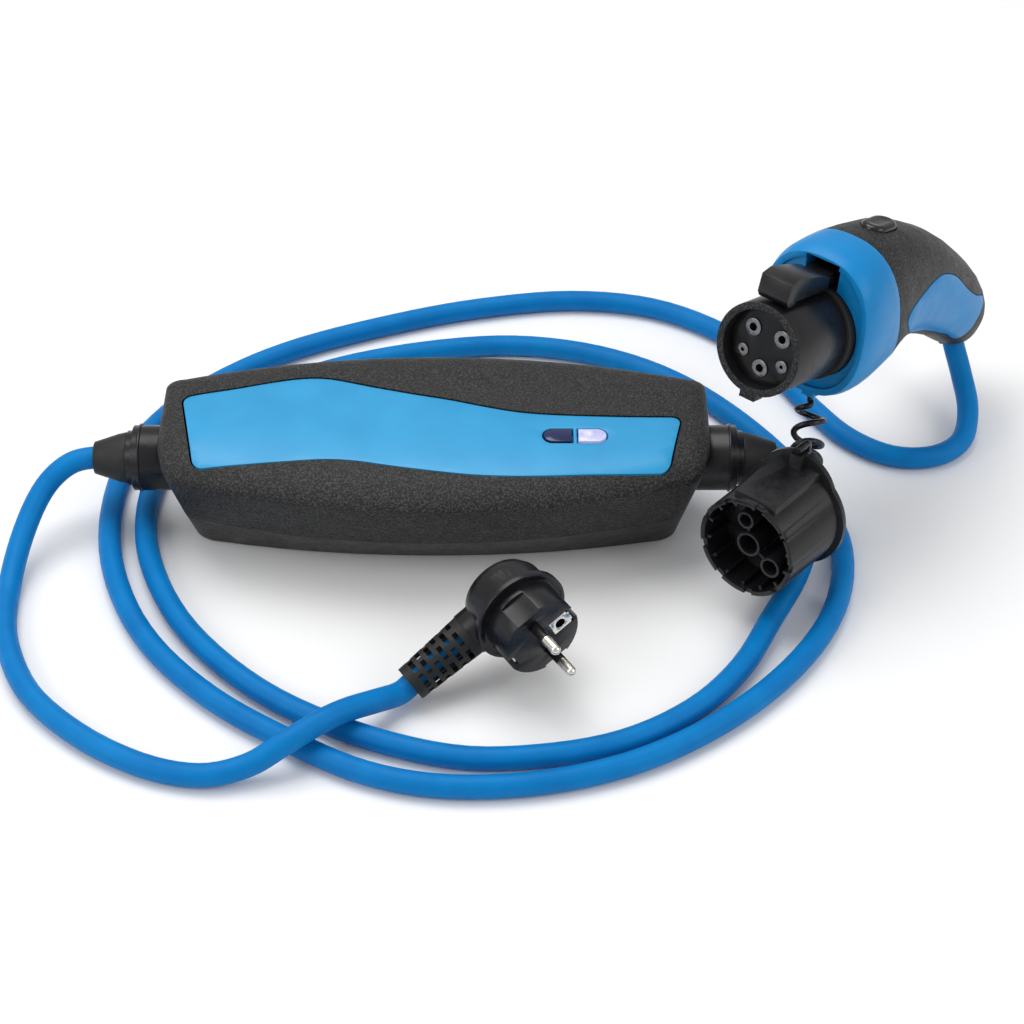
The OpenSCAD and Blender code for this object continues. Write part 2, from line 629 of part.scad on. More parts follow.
boot_end = vehicle_route[len(vehicle_route) - 2];
boot_axis = unit(vehicle_route[len(vehicle_route) - 1] - boot_end);
boot_end_d = cable_d + 5;
module on_boot_axis() translate(boot_end)
    rotate([0, acos(boot_axis[2]), atan2(boot_axis[1], boot_axis[0])]) children();
module connector_boot() color(smooth_black) on_boot_axis() difference() {
    union() {
        cylinder(d1 = boot_end_d - 1.5, d2 = boot_end_d, h = 14);
        translate([0, 0, 14]) cylinder(d = boot_end_d, h = 6);
    }
    translate([0, 0, -1]) cylinder(d = cable_d + 2 * cable_gap, h = 40);
}

// Dust cap: cored end at the origin, mouth and flange at the far end
cap_r = cap_bore / 2 + cap_wall;
core_l = 18;
cap_floor = 2;
lip_t = 2.6;
lip_r = cap_r + 2.6;
module in_cap() translate(cap_pos) rotate([0, cap_tilt, cap_turn]) children();
module cap_tube(y, z, d) translate([2, y, z]) rotate([0, 90, 0]) difference() {
    cylinder(d = d, h = core_l - 1);
    translate([0, 0, -1]) cylinder(d = d - 2.4, h = core_l);
}
module dust_cap() color(black) in_cap() {
    difference() {
        union() {
            axis_x(0) cylinder(r = cap_r, h = cap_l);
            translate([3, -11, 0]) cube([cap_l - 3, 22, cap_r + 1.2]);
            translate([cap_l - lip_t, 0, 0]) rotate([90, 0, 90]) linear_extrude(lip_t) {
                circle(r = lip_r);
                translate([0, 12]) circle(r = lip_r - 7);
            }
            translate([cap_l - 7, -3, cap_r]) cube([7, 6, 8.4]);
        }
        axis_x(-1) cylinder(d = cap_bore, h = core_l + 1);
        axis_x(core_l + cap_floor) cylinder(d = cap_bore, h = cap_l);
        for (k = [0:8]) rotate([40 * k + 10, 0, 0]) translate([-1, -2, cap_bore / 2 - 1]) cube([2.4, 4, 10]);
    }
    for (k = [0:cap_ribs - 1]) rotate([360 * k / cap_ribs, 0, 0])
        translate([2, -0.7, cap_bore / 2 - 2.2]) cube([core_l - 1, 1.4, 2.6]);
    cap_tube(0, 1, 12);
    cap_tube(3, 13, 8.5);
    cap_tube(-12.5, -6, 10);
    translate([3, 0.8, 6]) cube([core_l - 2, 1.2, 3.4]);
    translate([3, -9, -4.6]) rotate([32, 0, 0]) cube([core_l - 2, 4.4, 1.2]);
}

lanyard_route = [[177, 9, 68.8], [177, 6, 62], [176, -3, 54], [174.5, -13, 50], [173, -23, 51],
    [171.5, -31, 58], [171.7, -36, 74.8], [168.1, -40.6, 76.4], [165.7, -43.7, 76.8]];
lanyard_tail = 3;
function lanyard_width(i) = i < 2 || i > len(lanyard_route) - 4 ? lanyard_tail : lanyard_d;
module lanyard() color(smooth_black) skin([for (i = [0:len(lanyard_route) - 1])
    route_ring(lanyard_route, i, lanyard_width(i) / 2, 8)]);

upper_housing();
base_cover();
housing_seal();
cover_screws();
front_panel();
status_window_left();
status_window_right();
control_board();
mains_relays();
current_sensor();
terminal_blocks();
gland_left();
gland_right();
gland_boot_left();
gland_boot_right();
mains_lead();
vehicle_lead();
plug_body();
plug_face();
plug_pins();
plug_earth_contacts();
plug_boot();
nose();
contact_carrier();
power_contacts();
signal_contacts();
nose_seal();
front_shell();
grip_shell();
grip_inlay_left();
grip_inlay_right();
latch_lever();
latch_pin();
latch_spring();
release_button();
connector_boot();
lanyard();
dust_cap();
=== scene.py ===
import math

import bpy
from mathutils import Matrix, Vector


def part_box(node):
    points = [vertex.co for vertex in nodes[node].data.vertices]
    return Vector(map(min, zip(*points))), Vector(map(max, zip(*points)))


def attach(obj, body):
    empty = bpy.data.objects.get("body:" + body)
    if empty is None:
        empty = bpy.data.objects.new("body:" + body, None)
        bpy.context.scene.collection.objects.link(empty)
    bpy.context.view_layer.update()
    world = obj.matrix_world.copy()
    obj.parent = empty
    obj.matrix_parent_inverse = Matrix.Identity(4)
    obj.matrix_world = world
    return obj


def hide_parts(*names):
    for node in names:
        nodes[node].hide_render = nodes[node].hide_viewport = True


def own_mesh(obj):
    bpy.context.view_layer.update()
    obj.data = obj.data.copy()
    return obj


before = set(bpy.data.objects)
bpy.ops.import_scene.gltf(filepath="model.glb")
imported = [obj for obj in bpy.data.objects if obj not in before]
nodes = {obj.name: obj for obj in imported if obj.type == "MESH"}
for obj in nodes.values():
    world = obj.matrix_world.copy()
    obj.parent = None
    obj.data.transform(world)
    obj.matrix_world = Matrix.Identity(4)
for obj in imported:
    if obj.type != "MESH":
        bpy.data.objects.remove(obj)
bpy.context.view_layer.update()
scene = bpy.context.scene
print("frame loaded:", len(nodes), "nodes")


def deselectAll():
    if bpy.context.object and bpy.context.object.mode != "OBJECT":
        bpy.ops.object.mode_set(mode="OBJECT")
    bpy.ops.object.select_all(action="DESELECT")


def pick(piece):
    deselectAll()
    piece.select_set(True)
    bpy.context.view_layer.objects.active = piece


# camera, at the angle of the photograph
shot = {"target": (0.0366, 0.005, 0.0), "distance": 1.2, "elevation": 40, "lens": 86.5}
rise = math.radians(shot["elevation"])
back = Vector((0, -math.cos(rise), math.sin(rise)))
deselectAll()
bpy.ops.object.camera_add(location=Vector(shot["target"]) + back * shot["distance"])
camera = bpy.context.object
camera.rotation_euler = (-back).to_track_quat("-Z", "Y").to_euler()
camera.data.lens = shot["lens"]
camera.data.sensor_width = 36
camera.data.clip_start = 0.05
scene.camera = camera
print("camera set")


# finishes

def newFinish(name):
    finish = bpy.data.materials.new(name)
    finish.use_nodes = True
    tree = finish.node_tree
    return finish, tree, tree.nodes["Principled BSDF"]


def addNode(tree, kind, **settings):
    node = tree.nodes.new(kind)
    for key, value in settings.items():
        setattr(node, key, value)
    return node


def objectPoint(tree):
    return addNode(tree, "ShaderNodeTexCoord").outputs["Object"]


def noise(tree, point, size, detail=2.0, rough=0.5):
    cloud = addNode(tree, "ShaderNodeTexNoise")
    cloud.inputs["Scale"].default_value = 1 / size
    cloud.inputs["Detail"].default_value = detail
    cloud.inputs["Roughness"].default_value = rough
    tree.links.new(point, cloud.inputs["Vector"])
    return cloud.outputs["Fac"]


def between(tree, value, low, high, fromLow=0.3, fromHigh=0.7):
    span = addNode(tree, "ShaderNodeMapRange")
    span.inputs["From Min"].default_value = fromLow
    span.inputs["From Max"].default_value = fromHigh
    span.inputs["To Min"].default_value = low
    span.inputs["To Max"].default_value = high
    tree.links.new(value, span.inputs["Value"])
    return span.outputs["Result"]


def twoTone(tree, value, first, second):
    mix = addNode(tree, "ShaderNodeMix", data_type="RGBA")
    mix.inputs["A"].default_value = (*first, 1)
    mix.inputs["B"].default_value = (*second, 1)
    tree.links.new(value, mix.inputs["Factor"])
    return mix.outputs["Result"]


def bump(tree, shader, height, depth, strength=1.0):
    relief = addNode(tree, "ShaderNodeBump")
    relief.inputs["Strength"].default_value = strength
    relief.inputs["Distance"].default_value = depth
    tree.links.new(height, relief.inputs["Height"])
    tree.links.new(relief.outputs["Normal"], shader.inputs["Normal"])


def mouldedPlastic(name, look):
    finish, tree, shader = newFinish(name)
    point = objectPoint(tree)
    if "speckle" in look:
        tones = between(tree, noise(tree, point, look["speckle"], 1.5, 0.6), 0, 1, 0.46, 0.66)
    else:
        tones = between(tree, noise(tree, point, look["patch"], 3), 0, 1)
    tree.links.new(twoTone(tree, tones, look["color"], look["tint"]), shader.inputs["Base Color"])
    rubbed = noise(tree, point, look["patch"] * 0.35, 4, 0.6)
    tree.links.new(between(tree, rubbed, *look["rough"]), shader.inputs["Roughness"])
    bump(tree, shader, noise(tree, point, look["grain"], look["detail"], 0.6), look["depth"])
    shader.inputs["Specular IOR Level"].default_value = look["shine"]
    return finish


def plated(name, look):
    finish, tree, shader = newFinish(name)
    point = objectPoint(tree)
    haze = noise(tree, point, look["patch"], 4)
    tree.links.new(twoTone(tree, between(tree, haze, 0, 1), look["color"], look["tint"]),
                   shader.inputs["Base Color"])
    tree.links.new(between(tree, haze, *look["rough"]), shader.inputs["Roughness"])
    bump(tree, shader, noise(tree, point, look["grain"], 2), look["depth"], 0.5)
    shader.inputs["Metallic"].default_value = 1
    return finish


blackGrain = mouldedPlastic("blackGrain", {
    "color": (0.004, 0.004, 0.004), "tint": (0.046, 0.045, 0.044), "patch": 0.02, "rough": (0.42, 0.56),
    "grain": 0.0011, "detail": 2.5, "depth": 0.0006, "shine": 0.32, "speckle": 0.0009})
blackSatin = mouldedPlastic("blackSatin", {
    "color": (0.005, 0.005, 0.006), "tint": (0.009, 0.009, 0.011), "patch": 0.015, "rough": (0.25, 0.36),
    "grain": 0.0005, "detail": 2, "depth": 0.00002, "shine": 0.36})
blackGloss = mouldedPlastic("blackGloss", {
    "color": (0.004, 0.004, 0.005), "tint": (0.007, 0.007, 0.008), "patch": 0.015, "rough": (0.16, 0.24),
    "grain": 0.0006, "detail": 2, "depth": 0.00001, "shine": 0.5})
# darker than the satin black: painted shade for the contact carrier deep in the connector's mouth
blackRecessShade = mouldedPlastic("blackRecessShade", {
    "color": (0.002, 0.002, 0.003), "tint": (0.004, 0.004, 0.005), "patch": 0.015, "rough": (0.34, 0.46),
    "grain": 0.0005, "detail": 2, "depth": 0.00002, "shine": 0.3})
blackRubber = mouldedPlastic("blackRubber", {
    "color": (0.008, 0.008, 0.008), "tint": (0.014, 0.014, 0.014), "patch": 0.012, "rough": (0.5, 0.62),
    "grain": 0.0006, "detail": 3, "depth": 0.00004, "shine": 0.35})
panelBlue = mouldedPlastic("panelBlue", {
    "color": (0.010, 0.258, 0.520), "tint": (0.016, 0.300, 0.580), "patch": 0.03, "rough": (0.32, 0.44),
    "grain": 0.0007, "detail": 2, "depth": 0.00003, "shine": 0.45})
shellBlue = mouldedPlastic("shellBlue", {
    "color": (0.002, 0.190, 0.480), "tint": (0.004, 0.220, 0.530), "patch": 0.03, "rough": (0.34, 0.46),
    "grain": 0.0007, "detail": 2, "depth": 0.00004, "shine": 0.25})
cableBlue = mouldedPlastic("cableBlue", {
    "color": (0.0, 0.150, 0.435), "tint": (0.0, 0.190, 0.510), "patch": 0.02, "rough": (0.4, 0.54),
    "grain": 0.0012, "detail": 3, "depth": 0.00005, "shine": 0.13})
boardGreen = mouldedPlastic("boardGreen", {
    "color": (0.010, 0.110, 0.050), "tint": (0.020, 0.160, 0.070), "patch": 0.008, "rough": (0.3, 0.5),
    "grain": 0.0008, "detail": 1, "depth": 0.00003, "shine": 0.5})
terminalGreen = mouldedPlastic("terminalGreen", {
    "color": (0.060, 0.300, 0.100), "tint": (0.080, 0.360, 0.130), "patch": 0.01, "rough": (0.4, 0.55),
    "grain": 0.0006, "detail": 2, "depth": 0.00003, "shine": 0.5})
nickel = plated("nickel", {
    "color": (0.70, 0.66, 0.58), "tint": (0.80, 0.77, 0.70), "patch": 0.006, "rough": (0.16, 0.3),
    "grain": 0.0004, "depth": 0.00001})
# silver contacts darkened to a dark grey metal: painted shade for the contacts deep in the connector's mouth
shadedContactSilver = plated("shadedContactSilver", {
    "color": (0.15, 0.15, 0.16), "tint": (0.24, 0.24, 0.25), "patch": 0.004, "rough": (0.24, 0.36),
    "grain": 0.0004, "depth": 0.00001})
windowDark = mouldedPlastic("windowDark", {
    "color": (0.004, 0.006, 0.045), "tint": (0.006, 0.012, 0.090), "patch": 0.006, "rough": (0.12, 0.2),
    "grain": 0.002, "detail": 1, "depth": 0.00001, "shine": 0.6})
windowLit = mouldedPlastic("windowLit", {
    "color": (0.36, 0.36, 0.62), "tint": (0.62, 0.62, 0.86), "patch": 0.004, "rough": (0.12, 0.2),
    "grain": 0.002, "detail": 1, "depth": 0.00001, "shine": 0.6})
windowLit.node_tree.nodes["Principled BSDF"].inputs["Emission Color"].default_value = (0.78, 0.8, 1, 1)
windowLit.node_tree.nodes["Principled BSDF"].inputs["Emission Strength"].default_value = 0.12
print("finishes made")


# cords, through the same points as in the part's source, in millimetres

def smoothRow(points, steps):
    row = []
    last = len(points) - 1
    for i in range(last):
        a, b, c, d = (Vector(points[max(0, min(last, i + k))]) for k in (-1, 0, 1, 2))
        for k in range(steps):
            t = k / steps
            row.append(0.5 * (2 * b + (c - a) * t + (2 * a - 5 * b + 4 * c - d) * t * t
                              + (3 * b - a - 3 * c + d) * t * t * t))
    row.append(Vector(points[-1]))
    return row


def smoothLine(points, steps, lowest):
    return [Vector((p.x, p.y, max(p.z, lowest))) / 1000 for p in smoothRow(points, steps)]


def cordCurve(name, line, diameter, finish):
    shape = bpy.data.curves.new(name, "CURVE")
    shape.dimensions = "3D"
    shape.bevel_depth = diameter / 2
    shape.bevel_resolution = 6
    shape.use_fill_caps = True
    spline = shape.splines.new("POLY")
    spline.points.add(len(line) - 1)
    for place, p in zip(spline.points, line):
        place.co = (*p, 1)
    spline.use_smooth = True
    cord = bpy.data.objects.new(name, shape)
    scene.collection.objects.link(cord)
    shape.materials.append(finish)
    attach(cord, "root")
    return cord


def lineLength(line):
    return sum((b - a).length for a, b in zip(line, line[1:]))


low = 5.4  # the cable's middle, where it lies on the floor
mains = {"diameter": 0.0108, "length": 0.42, "exit": (-0.162, 0, 0.038), "points": [
    (-140, 0, 38), (-163, 0, 38), (-176, -3, 35), (-187, -13, 27), (-195, -33, 15), (-198, -60, low),
    (-194, -92, low), (-179, -126, low), (-153, -153, low), (-124, -171, low), (-98, -178, 6),
    (-77, -175, 9), (-60, -168, 16.4), (-46, -158, 18.6), (-35, -149, 17), (-23, -139, 12.5),
    (-13.12, -129.84, 8.38), (-4.74, -124.6, 13.2), (16.6, -111.26, 25.48)]}
vehicle = {"diameter": 0.0108, "length": 2.23, "exit": (0.162, 0, 0.038), "points": [
    (140, 0, 38), (163, 0, 38), (173, -3, 35.5), (178, -13, 28), (177, -30, 16), (170, -50, 7),
    (157, -76, low), (140, -110, low), (117, -137, low), (85, -157, low), (48, -166, low), (10, -166, low),
    (-34, -151, low), (-76, -125, low), (-111, -87, low), (-132, -45, low), (-140, -5, low), (-136, 35, low),
    (-118, 69, low), (-90, 95, low), (-53, 116, low), (-8, 130, low), (38, 135, low), (82, 126, low),
    (120, 104, low), (153, 68, low), (179, 24, low), (193, -22, low), (188, -65, low), (168, -104, low),
    (135, -140, low), (95, -167, low), (53, -181, low), (10, -184, low), (-26, -176, low), (-60, -157, low),
    (-97, -130, low), (-128, -95, low), (-148, -54, low), (-157, -10, low), (-154, 38, low), (-138, 76, low),
    (-110, 108, low), (-75, 133, low), (-25, 155, low), (20, 169, low), (68, 176, low), (112, 169, low),
    (148, 146, low), (172, 114, low), (190, 80, low), (206, 56, low), (226, 42, low), (247, 42, low),
    (262, 54, 6), (267, 72, 12), (265, 89, 21), (261, 101, 33), (258, 109, 46)]}
mainsLine = smoothLine(mains["points"], 5, low)
vehicleLine = smoothLine(vehicle["points"], 5, low)
mainsLead = cordCurve("mainsLead", mainsLine, mains["diameter"], cableBlue)
vehicleLead = cordCurve("vehicleLead", vehicleLine, vehicle["diameter"], cableBlue)
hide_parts("mains_lead")
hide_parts("vehicle_lead")

# the curly lanyard winds round its own middle line
curl = {"diameter": 0.0030, "length": 0.225, "exit": (0.177, 0.009, 0.0688), "radius": 0.0068, "turns": 5,
        "steps": 24, "firstCoil": 10, "lastCoil": 128, "swell": 7, "points": [
    (177, 9, 68.8), (177, 6, 62), (176, -3, 54), (174.5, -13, 50), (173, -23, 51), (171.5, -31, 58),
    (171.7, -36, 74.8), (168.1, -40.6, 76.4), (165.7, -43.7, 76.8)]}
middle = smoothLine(curl["points"], curl["steps"], 0)
coilLine = []
side = Vector((1, 0, 0))
for i, p in enumerate(middle):
    along = (middle[min(i + 1, len(middle) - 1)] - middle[max(i - 1, 0)]).normalized()
    side = (side - along * side.dot(along)).normalized()
    share = (i - curl["firstCoil"]) / (curl["lastCoil"] - curl["firstCoil"])
    swell = max(0, min(1, share * curl["swell"], (1 - share) * curl["swell"]))
    swell = swell * swell * (3 - 2 * swell)
    turn = 2 * math.pi * curl["turns"] * max(0, min(1, share))
    across = math.cos(turn) * side + math.sin(turn) * along.cross(side)
    coilLine.append(p + curl["radius"] * swell * across)
lanyard = cordCurve("lanyardCurl", coilLine, curl["diameter"], blackSatin)
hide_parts("lanyard")
print("cords made: mains", round(lineLength(mainsLine), 3), "vehicle", round(lineLength(vehicleLine), 3),
      "lanyard", round(lineLength(coilLine), 3))


# control box, drawn as rings from its foot to its domed top, and cut for the panel
boxForm = {"wall": 0.003, "seam": 0.027, "seamGap": 0.0003, "edge": 0.0005, "sharp": 26,
           # each ring, in millimetres: height, half length, corner, and the half widths in the middle
           # and at the ends, first on the front side and then on the back
           "walls": [(0, 115, 6, 26.5, 15, 26.5, 15), (1.5, 116.5, 6.5, 29, 17, 29, 17),
                     (27, 121.3, 7, 49.8, 30.5, 49.8, 30.5), (48.8, 128, 7, 54.8, 33, 54.5, 33)],
           "dome": [(50, 128.3, 6, 55, 33, 54.8, 33.4), (52.4, 129, 6, 52.9, 32.4, 55, 34),
                    (55, 129.7, 6, 49.6, 30, 54.6, 34), (57.6, 129, 6, 44.8, 27.2, 53.3, 33),
                    (59.7, 126, 6, 38.3, 23.2, 50.6, 31), (61, 119, 5, 29.5, 17.5, 45, 27),
                    (61.8, 104, 4, 17, 9.5, 33, 19), (62, 74, 1.5, 5, 3, 14, 8)],
           "frontLean": 5,  # millimetres that the front corners stand back
           "glandHeight": 0.038, "glandReach": 0.16,
           # radius, and distance from the middle of the box: the gland's neck, and the seat of its collar
           "glandHoles": [(0.0132, 0.1), (0.01565, 0.12395)],
           "screwRadius": 0.004, "screwDepth": 0.005,
           "screws": [(-0.044, -0.02), (-0.044, 0.02), (0.044, -0.02), (0.044, 0.02)]}
panelForm = {"gap": 0.0009, "sink": 0.0003, "floor": 0.050, "top": 0.08, "edge": 0.0005, "corner": 0.0045,
             "steps": 3, "windowGrowth": (1.14, 1.2),
             # the outline, in millimetres
             "upper": [(-120, 17), (-98, 22.1), (-79.3, 27.6), (-64, 30.9), (-50.8, 30.6), (-31.2, 24.5),
                       (-11.9, 18.9), (7.2, 13.9), (24, 8.6), (40, 4.4), (58, 2.2), (92, 0.8), (116.2, 1.2)],
             "lower": [(109, -33.6), (91, -35.8), (72.4, -37.3), (54, -38.6), (35.7, -39.2), (18, -38.6),
                       (0, -36.4), (-19.5, -33.2), (-36, -30), (-50, -28.9), (-66, -29.9), (-88, -31.3),
                       (-110.6, -32)]}


def boxQuarter(length, corner, middle, end):
    straight = length - corner
    places = [straight * k / 12 for k in range(13)]
    quarter = [(x, end + (middle - end) * (1 - (x / length) ** 2)) for x in places]
    cornerY = quarter.pop()[1] - corner
    for k in range(6):
        turn = math.pi / 2 * k / 6
        quarter.append((straight + corner * math.sin(turn), cornerY + corner * math.cos(turn)))
    return quarter + [(length, cornerY * (1 - k / 3)) for k in range(3)]


def boxRing(level):
    height, length, corner, *widths = level
    half = boxQuarter(length, corner, *widths[2:])
    for x, y in reversed(boxQuarter(length, corner, *widths[:2])):
        half.append((x - boxForm["frontLean"] * (x / length) ** 4 * (y / widths[1]) ** 3, -y))
    ring = half + [(-x, y) for x, y in reversed(half[1:-1])]
    return [Vector((x, y, height)) / 1000 for x, y in ring]


def loft(name, rings):
    deselectAll()
    bpy.ops.mesh.primitive_circle_add(vertices=len(rings[0]), fill_type="NGON")
    piece = bpy.context.object
    piece.name = name
    for vertex, place in zip(piece.data.vertices, rings[0]):
        vertex.co = place
    for below, ring in zip(rings, rings[1:]):
        bpy.ops.object.mode_set(mode="EDIT")
        bpy.ops.mesh.extrude_region_move()
        bpy.ops.object.mode_set(mode="OBJECT")
        spots = {tuple(round(c, 6) for c in p): q for p, q in zip(below, ring)}
        for vertex in piece.data.vertices:
            if vertex.select:
                vertex.co = spots[tuple(round(c, 6) for c in vertex.co)]
    bpy.ops.object.mode_set(mode="EDIT")
    bpy.ops.mesh.select_all(action="SELECT")
    bpy.ops.mesh.normals_make_consistent(inside=False)
    bpy.ops.object.mode_set(mode="OBJECT")
    return piece


def copyOf(piece, name):
    twin = bpy.data.objects.new(name, piece.data.copy())
    scene.collection.objects.link(twin)
    return twin


def combine(piece, cutter, how="DIFFERENCE"):
    pick(piece)
    step = piece.modifiers.new("combine", "BOOLEAN")
    step.operation = how
    step.solver = "EXACT"
    step.object = cutter
    bpy.ops.object.modifier_apply(modifier=step.name)


def softenEdges(piece, width, sharp=38):
    pick(piece)
    soft = piece.modifiers.new("soft", "BEVEL")
    soft.width = width
    soft.segments = 2
    soft.limit_method = "ANGLE"
    soft.angle_limit = math.radians(sharp)
    bpy.ops.object.modifier_apply(modifier=soft.name)
    bpy.ops.object.shade_smooth_by_angle(angle=math.radians(sharp - 4))


def keepSide(piece, height, above):
    pick(piece)
    bpy.ops.object.mode_set(mode="EDIT")
    bpy.ops.mesh.select_all(action="SELECT")
    bpy.ops.mesh.bisect(plane_co=(0, 0, height), plane_no=(0, 0, 1), use_fill=True,
                        clear_inner=above, clear_outer=not above)
    bpy.ops.object.mode_set(mode="OBJECT")


def finishPiece(piece, finish, slotName, body, *nodeNames):
    piece.data.materials.clear()
    piece.data.materials.append(finish)
    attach(piece, body)
    if nodeNames:
        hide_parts(*nodeNames)


boxSolid = loft("boxSolid", [boxRing(level) for level in boxForm["walls"] + smoothRow(boxForm["dome"], 3)])

# a prism through the panel's outline, and a wider one for the hole that it sits in
panelUpper = smoothRow(panelForm["upper"], panelForm["steps"])
panelEdge = panelUpper + smoothRow(panelForm["lower"], panelForm["steps"])
panelPrism = loft("panelPrism", [[Vector((x / 1000, y / 1000, height)) for x, y in panelEdge]
                                 for height in (panelForm["floor"], panelForm["top"])])
pick(panelPrism)
bpy.ops.object.mode_set(mode="EDIT")
bpy.ops.mesh.select_mode(type="EDGE")
bpy.ops.mesh.select_all(action="DESELECT")
bpy.ops.object.mode_set(mode="OBJECT")
cornerSpots = [panelEdge[k] / 1000 for k in (0, len(panelUpper) - 1, len(panelUpper), -1)]
for edge in panelPrism.data.edges:
    ends = [panelPrism.data.vertices[k].co.xy for k in edge.vertices]
    upright = (ends[0] - ends[1]).length < 0.000001
    edge.select = upright and min((ends[0] - p).length for p in cornerSpots) < 0.00001
bpy.ops.object.mode_set(mode="EDIT")
bpy.ops.mesh.bevel(offset=panelForm["corner"], segments=6)
bpy.ops.mesh.select_mode(type="VERT")
bpy.ops.object.mode_set(mode="OBJECT")
holePrism = copyOf(panelPrism, "holePrism")
pick(holePrism)
bpy.ops.object.mode_set(mode="EDIT")
bpy.ops.mesh.select_all(action="SELECT")
bpy.ops.transform.shrink_fatten(value=panelForm["gap"], use_even_offset=True)
bpy.ops.object.mode_set(mode="OBJECT")

panelInlay = copyOf(boxSolid, "panelInlay")
for vertex in panelInlay.data.vertices:
    vertex.co.z -= panelForm["sink"]
combine(panelInlay, panelPrism, "INTERSECT")
for nodeName in ("status_window_left", "status_window_right"):
    opening = copyOf(nodes[nodeName], nodeName + "Opening")
    windowMiddle = (Vector(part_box(nodeName)[0]) + Vector(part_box(nodeName)[1])) / 2
    for vertex in opening.data.vertices:
        for k, growth in enumerate(panelForm["windowGrowth"]):
            vertex.co[k] = windowMiddle[k] + (vertex.co[k] - windowMiddle[k]) * growth
    pick(opening)
    bpy.ops.object.mode_set(mode="EDIT")
    bpy.ops.mesh.select_all(action="SELECT")
    bpy.ops.mesh.remove_doubles(threshold=0.000002)
    bpy.ops.object.mode_set(mode="OBJECT")
    combine(panelInlay, opening)
    bpy.data.objects.remove(opening)
softenEdges(panelInlay, panelForm["edge"])
finishPiece(panelInlay, panelBlue, "panel_blue", "root", "front_panel")

wallMm = boxForm["wall"] * 1000
innerLevels = [(height + wallMm * (k == 0), length - wallMm, corner, *(w - wallMm for w in widths))
               for k, (height, length, corner, *widths) in enumerate(boxForm["walls"])]
innerLevels += [(height - wallMm, length - wallMm, corner, *(w - wallMm for w in widths))
                for height, length, corner, *widths in boxForm["dome"][2:-1]]
boxCavity = loft("boxCavity", [boxRing(level) for level in innerLevels])
combine(boxSolid, boxCavity)
combine(boxSolid, holePrism)
for radius, inner in boxForm["glandHoles"]:
    for end in (-1, 1):
        deselectAll()
        midway = end * (inner + boxForm["glandReach"]) / 2
        bpy.ops.mesh.primitive_cylinder_add(vertices=64, radius=radius, depth=boxForm["glandReach"] - inner,
                                            location=(midway, 0, boxForm["glandHeight"]),
                                            rotation=(0, math.pi / 2, 0))
        glandHole = bpy.context.object
        combine(boxSolid, glandHole)
        bpy.data.objects.remove(glandHole)
for x, y in boxForm["screws"]:
    deselectAll()
    bpy.ops.mesh.primitive_cylinder_add(vertices=48, radius=boxForm["screwRadius"],
                                        depth=2 * boxForm["screwDepth"], location=(x, y, 0))
    screwHole = bpy.context.object
    combine(boxSolid, screwHole)
    bpy.data.objects.remove(screwHole)
boxTop = copyOf(boxSolid, "boxTop")
keepSide(boxTop, boxForm["seam"] + boxForm["seamGap"] / 2, True)
boxBase = copyOf(boxSolid, "boxBase")
keepSide(boxBase, boxForm["seam"] - boxForm["seamGap"] / 2, False)
for piece, nodeName in ((boxTop, "upper_housing"), (boxBase, "base_cover")):
    softenEdges(piece, boxForm["edge"], boxForm["sharp"])
    finishPiece(piece, blackGrain, "black_grain", "root", nodeName)
for helper in (boxSolid, boxCavity, panelPrism, holePrism):
    bpy.data.objects.remove(helper)
print("control box made")


# dressed copies of the CAD nodes, with softened edges and their finish

def dress(nodeName, finish, body="root", edge=0.0004, sharp=38):
    piece = bpy.data.objects.new(nodeName + "Dressed", nodes[nodeName].data.copy())
    scene.collection.objects.link(piece)
    pick(piece)
    bpy.ops.mesh.customdata_custom_splitnormals_clear()
    bpy.ops.object.mode_set(mode="EDIT")
    bpy.ops.mesh.select_all(action="SELECT")
    bpy.ops.mesh.remove_doubles(threshold=0.000002)
    bpy.ops.mesh.dissolve_limited(angle_limit=math.radians(0.6))
    bpy.ops.object.mode_set(mode="OBJECT")
    if edge:
        softenEdges(piece, edge, sharp)
    else:
        bpy.ops.object.shade_smooth_by_angle(angle=math.radians(sharp - 4))
    piece.data.materials.clear()
    piece.data.materials.append(finish)
    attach(piece, body)
    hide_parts(nodeName)
    return piece


dressed = {}
for nodeName, finish, edge in [
        ("status_window_left", windowDark, 0.0003), ("status_window_right", windowLit, 0.0003),
        ("gland_left", blackSatin, 0.0005), ("gland_right", blackSatin, 0.0005),
        ("gland_boot_left", blackRubber, 0.0004), ("gland_boot_right", blackRubber, 0.0004),
        ("plug_body", blackSatin, 0.0005), ("plug_face", blackSatin, 0.0003), ("plug_pins", nickel, 0.0001),
        ("plug_earth_contacts", nickel, 0.0002), ("plug_boot", blackRubber, 0.0003),
        # contact_carrier takes the darker black and the contacts the darkened silver, both painted shade for
        # the deep mouth
        ("nose", blackSatin, 0.0006), ("contact_carrier", blackRecessShade, 0.0002),
        ("power_contacts", shadedContactSilver, 0.0002), ("signal_contacts", shadedContactSilver, 0.0002),
        ("nose_seal", blackRubber, 0.0005), ("front_shell", shellBlue, 0.0007),
        ("grip_shell", blackGrain, 0.0006), ("grip_inlay_left", shellBlue, 0.0003),
        ("grip_inlay_right", shellBlue, 0.0003), ("connector_boot", blackRubber, 0.0005),
        ("dust_cap", blackSatin, 0.0004)]:
    dressed[nodeName] = dress(nodeName, finish, edge=edge)
dressed["latch_lever"] = dress("latch_lever", blackSatin, body="latch", edge=0.0004)

